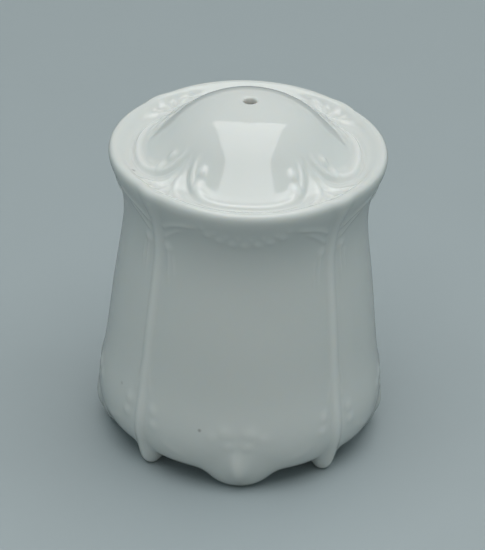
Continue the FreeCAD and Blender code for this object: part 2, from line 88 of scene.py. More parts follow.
# the underside, the cavity's floor, and the height at which its wall turns into its dome
BASE = 2.6
FLOOR = 5.6
SPRING = 50.5
CAVITY_RADIUS = 21.6
CAVITY_WALL = [(16.0, FLOOR), (23.6, FLOOR), (25.7, 11.5), (24.7, 24.0), (23.0, 38.0)]
CAVITY_DOME = [math.radians(angle) for angle in (0, 20, 40, 60, 76, 85.75)]

# radius at the lobes, height, panel bow, corner radius, share of the lobing, row spacing
WALL = [
    (24.3, 63.2, 2.6, 6.0, 0.0, 0.32),
    (25.3, 63.75, 2.6, 6.0, 0.45, 0.32),
    (26.2, 64.25, 2.6, 6.0, 0.85, 0.32),
    (26.9, 64.4, 2.6, 6.0, 1.0, 0.32),
    (27.6, 64.0, 2.6, 6.0, 1.0, 0.32),
    (27.9, 63.1, 2.6, 6.0, 1.0, 0.34),
    (27.75, 62.0, 2.5, 5.0, 1.0, 0.4),
    (26.8, 59.5, 2.2, 2.8, 1.0, 0.4),
    (25.3, 55.5, 2.0, 1.9, 1.0, 0.4),
    (24.6, 50.5, 2.0, 1.75, 1.0, 0.5),
    (25.2, 42.0, 2.0, 1.75, 1.0, 1.4),
    (26.6, 30.0, 2.0, 1.75, 1.0, 1.8),
    (27.8, 18.5, 2.0, 1.75, 1.0, 0.6),
    (28.7, 11.5, 2.0, 1.75, 1.0, 0.45),
    (28.45, 7.5, 2.0, 1.75, 1.0, 0.45),
    (27.0, 4.4, 2.0, 1.75, 1.0, 0.4),
    (25.2, 3.2, 2.0, 1.6, 0.8, 0.4),
    (23.6, 2.65, 2.0, 1.8, 0.4, 0.45),
    (21.0, 2.6, 2.0, 1.8, 0.0, 0.6),
    (18.0, 2.6, 2.0, 1.8, 0.0, 2.0),
]

# how far a corner's arc stands back, how widely it melts into the panels, and the least radius
# that the lobed outline is worked out for
RIB_DROP = 0.23
RIB_BLEND = 0.8
LEAST_LOBED = 8.0

# spacing of the rows: round the pouring hole, over the crown and on the dome's carved flank
BORE_STEP = 0.16
CROWN_STEP = 1.1
FLANK_STEP = 0.3
FLANK_RADII = (12.5, 24.0)
FLANK_FOOT = GUTTER + 2
FINE_STEP = 0.05

# spacing of the columns, which draw together towards the ribs
PANEL_STEP = math.radians(0.98)
RIB_STEP = math.radians(0.52)
CLOSE_FROM = math.radians(27.0)
CLOSE_OVER = math.radians(6.0)
FINE_COLUMNS = 4001

# marks on the outside: the lip's rows, the ribs' rows and the first row that the feet can reach
LIP_RADIUS = 26.5
RIB_RADIUS = 20.0
RIB_TOP = 62.0
HIP_RADIUS = 27.0
HIP_HEIGHT = 20.0

# the relief: sampling of a stroke, edge of a bead, and the hatched fans at the lip's corners
STROKE_STEP = 0.4
BEAD_EDGE = 1.3
FAN_MIDDLE = 2.8
FAN_HALF_WIDTH = 2.4
FAN_SPAN = (20.8, 24.8)
HATCH_PITCH = 1.3
HATCH_DEPTH = 0.02
GARLAND = (56.5, 56.7, 57.4, 58.4)
GARLAND_STEP = 2.5

# painted highlight along the ribs: how raised they count for the glaze tone, and over which half
# width
RIB_HIGHLIGHT = 0.3
RIB_HIGHLIGHT_WIDTH = 1.1

# the feet are ellipsoids on one circle: outward, sideways and upward half axes
FOOT_CIRCLE = 24.3
FOOT_CENTRE = 3.3
RIB_FOOT = (2.7, 2.3, 3.5)
PANEL_FOOT = (3.0, 5.4, 3.5)
KEEL_CENTRE = 4.4
KEEL = (3.9, 1.3, 2.6)
FOOT_TURN = math.radians(1.3)
RIB_FOOT_BLEND = 2.0
KEEL_BLEND = 1.3
PANEL_FOOT_BLEND = 4.0

# the surface settles onto the feet from this far out, by this share of the gap at each step
FOOT_REACH = 7.0
FOOT_STEPS = 48
STEP_SHARE = 0.8
BACK_STEP = -0.2

# ---------------------------------------------------------------- sizes of the plug

CROWN_EDGE = 7.55
SHOULDER = 7.0
LAND_RADIUS = 8.42
FLANGE_TOP = 2.55
HOLLOW_MOUTH = 7.3
HOLLOW_END = 6.35
PLUG_WALL = 1.2
PLUG_COLUMNS = 160

# the grooves between the sealing lands, and the ring groove under the flange: radius and depth
SEAL_TOPS = (6.3, 4.7)
SEAL_RADIUS = 8.2
SEAL_WIDTH = 1.0
SEAL_SLOPE = 0.2
SEAL_ROUND = 0.2
FLANGE_GROOVE = ((10.3, 0.0), (10.05, 0.25), (9.35, 0.25), (9.1, 0.0))

BAR = (15.7, 1.4, 3.6)
BAR_RECESS = 0.4
BAR_ROUND = 0.4
BAR_SEGMENTS = 4

# ---------------------------------------------------------------- looks

GLAZE = [(0.745, 0.77, 0.75, 1), (0.785, 0.80, 0.78, 1)]
# darker glaze pooled in grooves, which also paints shade into them
POOLED_GLAZE_AND_SHADE = (0.66, 0.705, 0.70, 1)
# lighter thin glaze on raised relief, which is also the painted highlight along the ribs
THIN_GLAZE_AND_HIGHLIGHT = (0.865, 0.88, 0.86, 1)
IRON_BROWN = (0.10, 0.085, 0.07, 1)
BISCUIT = [(0.70, 0.67, 0.61, 1), (0.80, 0.78, 0.73, 1)]
# painted glow: the bore and the cavity give off this light, though no lamp is there
PAINTED_GLOW_COLOUR = (1.0, 0.96, 0.88, 1)
PAINTED_GLOW_STRENGTH = 0.05

# iron specks burnt into the glaze: place and radius in millimetres, and strength
KILN_SPECKS = [
    ((-7.7, -27.4, 14.1), 0.5, 0.45),
    ((-23.7, -14.4, 16.5), 0.5, 0.2),
    ((-22.6, -9.4, 63.25), 0.6, 0.5),
]

PLASTIC = [(0.70, 0.71, 0.69, 1), (0.78, 0.785, 0.76, 1)]
SCUFFED_PLASTIC = (0.62, 0.61, 0.57, 1)

# the floor as the camera sees it, and the darker tone that it throws back onto the shaker
STUDIO_GREY = [(0.375, 0.43, 0.45, 1), (0.405, 0.46, 0.48, 1)]
BOUNCED_GREY = (0.21, 0.245, 0.258, 1)

# ---------------------------------------------------------------- stage, in metres

FLOOR_HALF = 3.0

# the sky: cooler from the sides than from front and back, weaker overhead than at the horizon
SKY_FRONT = (0.935, 0.95, 0.895, 1)
SKY_SIDE = (0.70, 0.935, 0.975, 1)
HORIZON_LIGHT = 0.58
ZENITH_LIGHT = 0.10

SOFTBOX_PLACE = (0.06, -0.08, 0.94)
SOFTBOX_TARGET = (0.0, 0.0, 0.03)
SOFTBOX_SIZE = (1.3, 1.0)
SOFTBOX_POWER = 7.6
SOFTBOX_COLOUR = (0.985, 0.995, 0.99)

# right half of the mirrored window's edge, from the far side to the near side, and its middle
WINDOW_HALF = [
    (0, 0.36, 1.0),
    (0.25, 0.43, 0.935),
    (0.46, 0.52, 0.79),
    (0.44, 0.26, 0.93),
    (0.425, -0.02, 0.975),
    (0.375, -0.33, 0.935),
    (0.36, -0.60, 0.78),
    (0, -0.66, 0.82),
]
WINDOW_MIDDLE = (0, 0, 1.07)
WINDOW_COLOUR = (1.0, 0.99, 0.98, 1)
WINDOW_GLOW = 2.05

CAMERA_TARGET = (-0.00023, 0.0, 0.03427)
CAMERA_ELEVATION = math.radians(31.2)
CAMERA_ROLL = math.radians(2.15)
CAMERA_DISTANCE = 1.0
CAMERA_LENS = 323.1


# ---------------------------------------------------------------- curves and blends


def spline(points, step):
    """Natural cubic spline through points, with any extra columns, sampled about every step."""
    points = np.asarray(points, float)
    knots = np.concatenate([[0.0], np.cumsum(np.hypot(*np.diff(points[:, :2], axis=0).T))])
    count = len(knots)
    gaps = np.diff(knots)[:, None]
    slopes = np.diff(points, axis=0) / gaps
    system, right = np.eye(count), np.zeros_like(points)
    for k in range(1, count - 1):
        system[k, k - 1 : k + 2] = gaps[k - 1, 0], 2 * (gaps[k - 1, 0] + gaps[k, 0]), gaps[k, 0]
        right[k] = 6 * (slopes[k] - slopes[k - 1])
    bend = np.linalg.solve(system, right)
    at = np.linspace(0.0, knots[-1], max(3, int(knots[-1] / step) + 2))
    k = np.clip(np.searchsorted(knots, at) - 1, 0, count - 2)
    gap, after, before = gaps[k], (at - knots[k])[:, None], (knots[k + 1] - at)[:, None]
    curve = (bend[k] * before**3 + bend[k + 1] * after**3) / (6 * gap)
    curve += (points[k] / gap - bend[k] * gap / 6) * before
    curve += (points[k + 1] / gap - bend[k + 1] * gap / 6) * after
    return curve


def smooth_step(x):
    x = np.clip(x, 0.0, 1.0)
    return x * x * (3 - 2 * x)


def soft_max(a, b, blend):
    over = np.maximum(blend - np.abs(a - b), 0.0) / blend
    return np.maximum(a, b) + over * over * blend / 4


def soft_min(a, b, blend):
    return -soft_max(-a, -b, blend)


def places_along(lengths, steps):
    """Running count of steps along a line, from its lengths and the wanted step at each point."""
    return np.concatenate([[0.0], np.cumsum(lengths / (0.5 * (steps[1:] + steps[:-1])))])


# ---------------------------------------------------------------- the shaker's grid


def arc_rows(centre, radius, start, end, step, count):
    """Rows without lobing on a circle in the half section; angles are from straight up."""
    angles = np.linspace(start, end, count)
    rows = np.zeros((count, 6))
    rows[:, 0] = centre[0] + radius * np.sin(angles)
    rows[:, 1] = centre[1] + radius * np.cos(angles)
    rows[:, 2:4] = WALL[0][2:4]
    rows[:, 5] = step
    return rows


def outer_rows():
    """Rows from the pouring hole's inner end over the outside to the filling hole."""
    crown_height = DOME_TOP - CROWN_RADIUS
    edge = POUR_RADIUS + POUR_ROUND
    edge_angle = math.asin(edge / CROWN_RADIUS)
    edge_height = crown_height + CROWN_RADIUS * math.cos(edge_angle)
    bore_centre = (edge, edge_height - POUR_ROUND)
    bore = arc_rows(bore_centre, POUR_ROUND, -math.pi / 2, edge_angle, BORE_STEP, count=24)
    crown_centre = (0.0, crown_height)
    crown = arc_rows(crown_centre, CROWN_RADIUS, edge_angle, DOME_SLOPE, CROWN_STEP, count=200)
    cove_height = GUTTER + COVE_RADIUS
    slope_foot = cove_height - COVE_RADIUS * math.cos(DOME_SLOPE)
    slope_run = (crown[-1, 1] - slope_foot) / math.tan(DOME_SLOPE)
    cove_centre = (crown[-1, 0] + slope_run + COVE_RADIUS * math.sin(DOME_SLOPE), cove_height)
    cove_start = math.pi + DOME_SLOPE
    cove = arc_rows(cove_centre, COVE_RADIUS, cove_start, math.pi, FLANK_STEP, count=40)
    wall = spline(np.vstack([cove[-2:-1], np.array(WALL)]), FINE_STEP)
    dense = np.vstack([bore, crown[1:], cove, wall[1:]])
    radius, height = dense[:, 0], dense[:, 1]
    flank = (height > FLANK_FOOT) & (radius > FLANK_RADII[0]) & (radius < FLANK_RADII[1])
    dense[flank, 5] = FLANK_STEP
    places = places_along(np.hypot(np.diff(radius), np.diff(height)), dense[:, 5])
    wanted = np.linspace(0.0, places[-1], int(round(places[-1])) + 1)
    return np.stack([np.interp(wanted, places, column) for column in dense.T], axis=1)


def inner_rows():
    """Rows from the filling hole's outer edge up through the cavity to the pouring hole."""
    path = [(FILL_RADIUS + FILL_ROUND, BASE), (FILL_RADIUS + 0.15, BASE + 0.12)]
    path += [(FILL_RADIUS, BASE + FILL_ROUND), (FILL_RADIUS, FLOOR)]
    path += CAVITY_WALL
    for angle in CAVITY_DOME:
        path.append((CAVITY_RADIUS * math.cos(angle), SPRING + CAVITY_RADIUS * math.sin(angle)))
    rows = np.zeros((len(path), 6))
    rows[:, :2] = path
    rows[:, 2:4] = WALL[0][2:4]
    return rows


def columns():
    """Azimuth of every column, and how far it is turned off the middle of its own panel."""
    dense = np.linspace(-DIAGONAL, DIAGONAL, FINE_COLUMNS)
    near_rib = smooth_step((np.abs(dense) - CLOSE_FROM) / CLOSE_OVER)
    places = places_along(np.diff(dense), PANEL_STEP * (1 - near_rib) + RIB_STEP * near_rib)
    count = int(round(places[-1]))
    quarter = np.interp(np.arange(count) * places[-1] / count, places, dense)
    azimuths = np.concatenate([quarter + k * QUARTER_TURN for k in range(QUARTERS)])
    return azimuths, np.tile(quarter, QUARTERS)


def lobed(off, radius, bow, corner):
    """Outline radius: an off-centre panel arc, softly joined to the corner arc of a rib."""
    panel = bow * np.cos(off) + np.sqrt((radius - bow) ** 2 - (bow * np.sin(off)) ** 2)
    away = DIAGONAL - off
    reach = radius - corner - RIB_DROP
    inside = corner**2 - (reach * np.sin(away)) ** 2
    rib = reach * np.cos(away) + np.sign(inside) * np.sqrt(np.abs(inside))
    return soft_max(panel, rib, RIB_BLEND)


def grid_points(rows, azimuths, off):
    """Positions of the grid, before any relief."""
    radius, height, bow, corner, share = (rows[:, k : k + 1] for k in range(5))
    outline = lobed(np.abs(off)[None, :], np.maximum(radius, LEAST_LOBED), bow, corner)
    spread = np.where(share > 0, radius + share * (outline - radius), radius)
    x = spread * np.sin(azimuths)[None, :]
    y = -spread * np.cos(azimuths)[None, :]
    return np.stack([x, y, np.broadcast_to(height, x.shape)], axis=-1)


def grid_normals(points):
    """Outward unit normals of a grid that closes round its columns."""
    along = np.gradient(points, axis=0)
    around = np.roll(points, -1, axis=1) - np.roll(points, 1, axis=1)
    normals = np.cross(along, around)
    return normals / np.maximum(np.linalg.norm(normals, axis=-1, keepdims=True), 1e-12)


# ---------------------------------------------------------------- the relief


def nearest(x, y, curve):
    """Distance from every (x, y) to a polyline, and how far along it the nearest point is."""
    best, along = np.full(x.shape, np.inf), np.zeros(x.shape)
    pieces = len(curve) - 1
    for k in range(pieces):
        (ax, ay), (bx, by) = curve[k], curve[k + 1]
        dx, dy = bx - ax, by - ay
        t = np.clip(((x - ax) * dx + (y - ay) * dy) / (dx * dx + dy * dy), 0.0, 1.0)
        gap = np.hypot(x - ax - t * dx, y - ay - t * dy)
        closer = gap < best
        best = np.where(closer, gap, best)
        along = np.where(closer, (k + t) / pieces, along)
    return best, along


def stroke(x, y, points, width, height, start=0.12, end=0.12):
    """Soft ridge, or groove if height is negative, along a curve that tapers at both ends."""
    gap, along = nearest(x, y, spline(points, STROKE_STEP))
    taper = smooth_step(along / max(start, 1e-6)) * smooth_step((1 - along) / max(end, 1e-6))
    return height * taper * np.exp(-((gap / width) ** 2))


def bead(x, y, centre, size, height):
    """Low round boss, a little flatter on top than a bell curve."""
    across, along = (x - centre[0]) / size[0], (y - centre[1]) / size[1]
    return height * np.exp(-((across**2 + along**2) ** BEAD_EDGE))


def fan_hatch(diagonal, across):
    """Very faint hatching in the fans at the lip's corners."""
    fan = smooth_step((1.0 - np.abs(across - FAN_MIDDLE) / FAN_HALF_WIDTH) * 1.6)
    fan = fan * smooth_step((diagonal - FAN_SPAN[0]) / 1.5)
    fan = fan * smooth_step((FAN_SPAN[1] - diagonal) / 1.2)
    return HATCH_DEPTH * fan * np.sin((diagonal + across * 0.9) * 2 * math.pi / HATCH_PITCH)


def top_relief(x, y):
    """Relief of the dome's flank and the lip's inner side; x is across a panel, y outwards."""
    groove = [(-4.0, 22.6), (0, 22.95), (4.0, 22.65), (7.0, 21.8), (9.8, 20.1)]
    hook = [(9.8, 20.1), (11.45, 17.6), (11.95, 15.3), (11.5, 12.8), (10.3, 10.5)]
    scroll = [(-4.0, 21.75), (0, 22.15), (4.0, 21.75), (6.6, 20.95), (8.6, 19.6), (9.8, 17.6)]
    inner = [(4.0, 20.5), (6.0, 19.8), (8.0, 18.6), (9.4, 17.1)]
    rim = [(10.6, 17.5), (11.0, 15.6), (10.75, 13.8), (9.8, 12.5), (8.7, 12.1)]
    branch = [(13.1, 13.2), (14.0, 15.4), (14.0, 17.8), (13.1, 20.2), (11.2, 22.3)]
    crease = [(17.0, 18.3), (14.9, 19.3), (12.8, 20.7), (10.2, 22.4), (7.0, 23.9)]
    diagonal, across = (x + y) / math.sqrt(2.0), (y - x) / math.sqrt(2.0)
    raised = [
        stroke(x, y, scroll, 0.72, 0.42, start=0.0, end=0.05),
        stroke(x, y, inner, 0.55, 0.18, start=0.5),
        stroke(x, y, rim, 0.55, 0.24, start=0.15, end=0.4),
        stroke(x, y, branch, 0.75, 0.42, start=0.2, end=0.35),
        bead(x, y, (9.8, 17.3), (1.1, 1.0), 0.46),
        bead(x, y, (8.9, 14.9), (0.8, 0.8), 0.38),
        stroke(diagonal, across, [(20.8, 0), (22.8, 0), (25.6, 0)], 0.9, 0.28, 0.3, 0.2),
        stroke(diagonal, across, [(21.6, 0.8), (23.2, 2.1), (25.2, 3.0)], 0.6, 0.22, 0.2, 0.3),
    ]
    cut = [
        stroke(x, y, groove + hook[1:], 0.6, -0.26, start=0.0, end=0.35),
        stroke(x, y, groove, 0.42, -0.34, start=0.0, end=0.5),
        stroke(x, y, hook, 0.75, -0.2, start=0.3, end=0.3),
        stroke(x, y, crease, 0.6, -0.1, start=0.5, end=0.5),
    ]
    return np.maximum.reduce(raised) + sum(cut) + fan_hatch(diagonal, across)


def upper_relief(x, z):
    """Relief under the lip; x is the distance round the wall from the panel's middle."""
    leaf = [(18.7, 55.4), (16.9, 57.2), (14.6, 58.5), (11.4, 59.5), (8.6, 59.9)]
    low_leaf = [(18.2, 53.0), (16.3, 54.9), (14.3, 56.8), (11.8, 58.0)]
    raised = [
        stroke(x, z, leaf, 0.6, 0.24, 0.15, 0.35),
        stroke(x, z, low_leaf, 0.5, 0.2, 0.2, 0.35),
        stroke(x, z, [(16.3, 42.0), (16.3, 47.0), (16.5, 51.0)], 0.5, 0.17, 0.5, 0.1),
        stroke(x, z, [(15.0, 43.5), (15.0, 47.5), (15.4, 50.6)], 0.42, 0.13, 0.5, 0.2),
        bead(x, z, (16.6, 51.5), (1.0, 1.1), 0.28),
    ]
    for k, level in enumerate(GARLAND):
        raised.append(bead(x, z, (GARLAND_STEP * k, level), (1.0, 0.95), 0.24))
        raised.append(bead(x, z, (GARLAND_STEP * (k + 0.5), level + 1.6), (0.65, 0.7), 0.16))
    return np.maximum.reduce(raised)


def lower_relief(x, z):
    """Keel and shell at the foot of each panel, and the beads beside the ribs."""
    raised = [
        stroke(x, z, [(0, 3.6), (0, 6.5), (0, 11.5)], 1.25, 0.3, 0.4, 0.5),
        bead(x, z, (2.5, 14.3), (1.6, 1.5), 0.17),
        bead(x, z, (5.2, 13.0), (1.3, 1.2), 0.13),
        bead(x, z, (1.9, 11.2), (1.2, 1.0), 0.13),
        bead(x, z, (18.8, 14.9), (1.1, 1.3), 0.18),
        bead(x, z, (18.6, 11.8), (1.1, 1.1), 0.18),
        stroke(x, z, [(20.2, 25.0), (20.1, 20.5), (19.7, 16.5)], 0.55, 0.13, 0.4, 0.3),
        stroke(x, z, [(17.0, 9.8), (14.0, 8.0), (9.5, 7.0)], 0.8, 0.1, 0.3, 0.4),
    ]
    return np.maximum.reduce(raised)


def relief_heights(rows, off):
    """Height of the relief over the outside rows, above and below the lip's top edge."""
    radius = np.broadcast_to(rows[:, 0:1], (len(rows), len(off)))
    height = np.broadcast_to(rows[:, 1:2], radius.shape)
    turn = np.broadcast_to(np.abs(off)[None, :], radius.shape)
    peak = int(np.argmax(np.where(rows[:, 0] > LIP_RADIUS, rows[:, 1], 0)))
    top, wall = slice(0, peak), slice(peak, len(rows))
    result = np.zeros(radius.shape)
    result[top] = top_relief((radius * np.sin(turn))[top], (radius * np.cos(turn))[top])
    lateral, level = (radius * turn)[wall], height[wall]
    result[wall] = np.maximum(upper_relief(lateral, level), lower_relief(lateral, level))
    return result


def rib_painted_highlight(rows, off):
    """Painted highlight along the ribs, as a height that the glaze tone counts as raised relief."""
    from_rib = (DIAGONAL - np.abs(off))[None, :] * rows[:, 0:1]
    ribbed = ((rows[:, 0] > RIB_RADIUS) & (rows[:, 1] < RIB_TOP))[:, None]
    return RIB_HIGHLIGHT * np.exp(-((from_rib / RIB_HIGHLIGHT_WIDTH) ** 2)) * ribbed


# ---------------------------------------------------------------- the feet


def foot_distance(points, azimuth, radii, centre_height):
    """Signed distance, near enough, to an ellipsoid foot on the foot circle."""
    east, north = math.sin(azimuth), -math.cos(azimuth)
    outward = points[..., 0] * east + points[..., 1] * north - FOOT_CIRCLE
    sideways = -points[..., 0] * north + points[..., 1] * east
    offset = np.stack([outward, sideways, points[..., 2] - centre_height], axis=-1)
    scaled = np.linalg.norm(offset / radii, axis=-1)
    slope = np.maximum(np.linalg.norm(offset / np.square(radii), axis=-1), 1e-6)
    return scaled * (scaled - 1) / slope


def nearest_foot(points, radii, turn, centre_height):
    """Distance to the nearest of four like feet, one in each quarter."""
    azimuths = [k * QUARTER_TURN + turn for k in range(QUARTERS)]
    return np.minimum.reduce([foot_distance(points, a, radii, centre_height) for a in azimuths])


def raise_feet(points, normals):
    """Moves the surface out along its normals to a soft union of the body and its eight feet."""
    reach = np.full(points.shape[:2], FOOT_REACH)
    for _ in range(FOOT_STEPS):
        at = points + normals * reach[..., None]
        ribs = nearest_foot(at, RIB_FOOT, DIAGONAL, FOOT_CENTRE)
        panels = nearest_foot(at, PANEL_FOOT, FOOT_TURN, FOOT_CENTRE)
        keels = nearest_foot(at, KEEL, FOOT_TURN, KEEL_CENTRE)
        joined = soft_min(reach, ribs, RIB_FOOT_BLEND)
        joined = soft_min(joined, soft_min(panels, keels, KEEL_BLEND), PANEL_FOOT_BLEND)
        reach = np.maximum(reach - STEP_SHARE * np.maximum(joined, BACK_STEP), 0.0)
    moved = points + normals * reach[..., None]
    moved[..., 2] = np.maximum(moved[..., 2], 0.0)
    return moved


# ---------------------------------------------------------------- the shaker's mesh


def show(mesh, name, material):
    """Puts a mesh into the scene, smooth and with its material."""
    mesh.polygons.foreach_set("use_smooth", np.ones(len(mesh.polygons), bool))
    mesh.materials.append(material)
    obj = bpy.data.objects.new(name, mesh)
    bpy.context.scene.collection.objects.link(obj)
    return obj


def closed_grid(name, points):
    """Mesh whose rows close onto the first one and whose columns close round the axis."""
    row_count, column_count = points.shape[:2]
    index = np.arange(row_count * column_count).reshape(row_count, column_count)
    below, after = np.roll(index, -1, axis=0), np.roll(index, -1, axis=1)
    corners = [index, below, np.roll(below, -1, axis=1), after]
    faces = np.stack(corners, axis=-1).reshape(-1, 4)
    mesh = bpy.data.meshes.new(name)
    mesh.from_pydata((points.reshape(-1, 3) * MM).tolist(), [], faces.tolist())
    mesh.update()
    return mesh


def shaker(material):
    """The porcelain body; its relief, with the ribs' painted highlight, and its hollow side, which
    gets a painted glow, are attributes for the material.
    """
    azimuths, off = columns()
    outside = outer_rows()
    outside_points = grid_points(outside, azimuths, off)
    normals = grid_normals(outside_points)
    heights = relief_heights(outside, off)
    carved = outside_points + normals * heights[..., None]
    hip = int(np.argmax((outside[:, 0] > HIP_RADIUS) & (outside[:, 1] < HIP_HEIGHT)))
    carved[hip:] = raise_feet(carved[hip:], normals[hip:])
    points = np.vstack([carved, grid_points(inner_rows(), azimuths, off)])
    relief, hollow = np.zeros(points.shape[:2]), np.ones(points.shape[:2])
    # the ribs' painted highlight joins the relief heights, which lighten the glaze tone
    relief[: len(outside)] = np.maximum(heights, rib_painted_highlight(outside, off))
    # the bore and the cavity are marked for the painted glow
    bore_end = int(np.argmax(outside[:, 0] > BORE_END_RADIUS))
    hollow[bore_end : len(outside)] = 0.0
    mesh = closed_grid("shaker_porcelain", points)
    for label, values in (("relief", relief), ("hollow", hollow)):
        attribute = mesh.attributes.new(label, "FLOAT", "POINT")
        attribute.data.foreach_set("value", values.astype(np.float32).ravel())
    return show(mesh, "shaker_porcelain", material)


# ---------------------------------------------------------------- the plug


def plug_profile(box):
    """Half section, down the outside and up the hollow: radius, height and rounding."""
    low, high = (Vector(corner) / MM for corner in box)
    flange, bottom, top = high.x, low.z, high.z
    line = [(0.0, top, 0.0), (CROWN_EDGE, top, 0.7), (LAND_RADIUS, SHOULDER, 1.5)]
    for seal_top in SEAL_TOPS:
        seal_end = seal_top - SEAL_WIDTH
        line.append((LAND_RADIUS, seal_top, SEAL_ROUND))
        line.append((SEAL_RADIUS, seal_top - SEAL_SLOPE, SEAL_ROUND))
        line.append((SEAL_RADIUS, seal_end + SEAL_SLOPE, SEAL_ROUND))
        line.append((LAND_RADIUS, seal_end, SEAL_ROUND))
    line += [(LAND_RADIUS, FLANGE_TOP, 0.15), (flange, FLANGE_TOP, 0.45), (flange, bottom, 0.45)]
    line += [(radius, bottom + depth, 0.12) for radius, depth in FLANGE_GROOVE]
    hollow_top = top - PLUG_WALL
    return line + [(HOLLOW_MOUTH, bottom, 0.4), (HOLLOW_END, hollow_top, 0.8), (0.0, hollow_top, 0.0)]


def rounded(corners, arc_points=6):
    """Polyline through corners given as (x, y, radius), each inner one replaced by an arc."""
    line = [corners[0][:2]]
    for before, corner, after in zip(corners, corners[1:], corners[2:]):
        here = Vector(corner[:2])
        coming = (here - Vector(before[:2])).normalized()
        going = (Vector(after[:2]) - here).normalized()
        turn = coming.angle_signed(going)
        reach = corner[2] * math.tan(abs(turn) / 2)
        side = -1.0 if turn > 0 else 1.0
        centre = here - coming * reach + Vector((-coming.y, coming.x)) * side * corner[2]
        spoke = here - coming * reach - centre
        for k in range(arc_points + 1):
            line.append(tuple(centre + Matrix.Rotation(-turn * k / arc_points, 2) @ spoke))
    line.append(corners[-1][:2])
    return line


def turn_profile(mesh, profile):
    """Adds the closed body that a half section makes when it is turned round the axis."""
    poles = [mesh.verts.new((0, 0, profile[k][1] * MM)) for k in (0, -1)]
    angles = [2 * math.pi * k / PLUG_COLUMNS for k in range(PLUG_COLUMNS)]
    rings = []
    for radius, height in profile[1:-1]:
        circle = [(radius * math.cos(a) * MM, radius * math.sin(a) * MM) for a in angles]
        rings.append([mesh.verts.new((x, y, height * MM)) for x, y in circle])
    for k in range(PLUG_COLUMNS):
        after = (k + 1) % PLUG_COLUMNS
        mesh.faces.new((poles[0], rings[0][k], rings[0][after]))
        mesh.faces.new((poles[1], rings[-1][after], rings[-1][k]))
        for upper, lower in zip(rings, rings[1:]):
            mesh.faces.new((upper[k], lower[k], lower[after], upper[after]))


def add_bar(mesh, bottom):
    """Adds the rounded grip bar, which stands across the hollow."""
    middle = Matrix.Translation((0, 0, bottom + BAR[2] / 2 * MM))
    stretch = Matrix.Diagonal((*[side * MM for side in BAR], 1))
    corners = bmesh.ops.create_cube(mesh, size=1.0, matrix=middle @ stretch)["verts"]
    mesh.edges.index_update()
    edges = {edge for corner in corners for edge in corner.link_edges}
    bmesh.ops.bevel(
        mesh,
        geom=sorted(edges, key=lambda edge: edge.index),
        offset=BAR_ROUND * MM,
        segments=BAR_SEGMENTS,
        profile=0.5,
        affect="EDGES",
    )


def plug(material):
    """Turned cup with a flange and sealing lands, and the bar across its hollow."""
    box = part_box("base_stopper")
    mesh = bmesh.new()
    turn_profile(mesh, rounded(plug_profile(box)))
    add_bar(mesh, box[0].z + BAR_RECESS * MM)
    bmesh.ops.recalc_face_normals(mesh, faces=mesh.faces)
    data = bpy.data.meshes.new("moulded_plug")
    mesh.to_mesh(data)
    mesh.free()
    return show(data, "moulded_plug", material)


# ---------------------------------------------------------------- materials


class Graph:
    """Short names for building a node tree over one kind of texture coordinates."""

    def __init__(self, tree, coordinates="Object"):
        self.nodes = tree.nodes
        self.links = tree.links
        self.coordinates = self.nodes.new("ShaderNodeTexCoord").outputs[coordinates]

    def link(self, source, target):
        if isinstance(source, (int, float, tuple)):
            target.default_value = source
        else:
            self.links.new(source, target)

    def noise(self, scale, detail=2.0, roughness=0.5):
        node = self.nodes.new("ShaderNodeTexNoise")
        node.inputs["Scale"].default_value = scale
        node.inputs["Detail"].default_value = detail
        node.inputs["Roughness"].default_value = roughness
        self.links.new(self.coordinates, node.inputs["Vector"])
        return node.outputs["Fac"]

    def maths(self, operation, *values, clamp=False):
        node = self.nodes.new("ShaderNodeMath")
        node.operation = operation
        node.use_clamp = clamp
        for k, value in enumerate(values):
            self.link(value, node.inputs[k])
        return node.outputs[0]

    def remap(self, value, low, high, out_low, out_high):
        node = self.nodes.new("ShaderNodeMapRange")
        for k, setting in enumerate((value, low, high, out_low, out_high)):
            self.link(setting, node.inputs[k])
        return node.outputs[0]

    def mix(self, factor, first, second):
        node = self.nodes.new("ShaderNodeMix")
        node.data_type = "RGBA"
        self.link(factor, node.inputs[0])
        self.link(first, node.inputs[6])
        self.link(second, node.inputs[7])
        return node.outputs[2]

    def bump(self, height, distance, strength, normal=None):
        node = self.nodes.new("ShaderNodeBump")
        node.inputs["Strength"].default_value = strength
        node.inputs["Distance"].default_value = distance
        self.link(height, node.inputs["Height"])
        if normal is not None:
            self.links.new(normal, node.inputs["Normal"])
        return node.outputs["Normal"]

    def attribute(self, name):
        node = self.nodes.new("ShaderNodeAttribute")
        node.attribute_name = name
        return node.outputs["Fac"]

    def axis(self, name):
        node = self.nodes.new("ShaderNodeSeparateXYZ")
        self.links.new(self.coordinates, node.inputs[0])
        return node.outputs[name]

    def distance_to(self, place):
        node = self.nodes.new("ShaderNodeVectorMath")
        node.operation = "DISTANCE"
        self.links.new(self.coordinates, node.inputs[0])
        node.inputs[1].default_value = place
        return node.outputs["Value"]


def new_material(name):
    """A material with a Principled shader on its output, and the graph to build it with."""
    material = bpy.data.materials.new(name)
    material.use_nodes = True
    tree = material.node_tree
    tree.nodes.clear()
    shader = tree.nodes.new("ShaderNodeBsdfPrincipled")
    output = tree.nodes.new("ShaderNodeOutputMaterial")
    tree.links.new(shader.outputs["BSDF"], output.inputs["Surface"])
    return material, shader, Graph(tree)


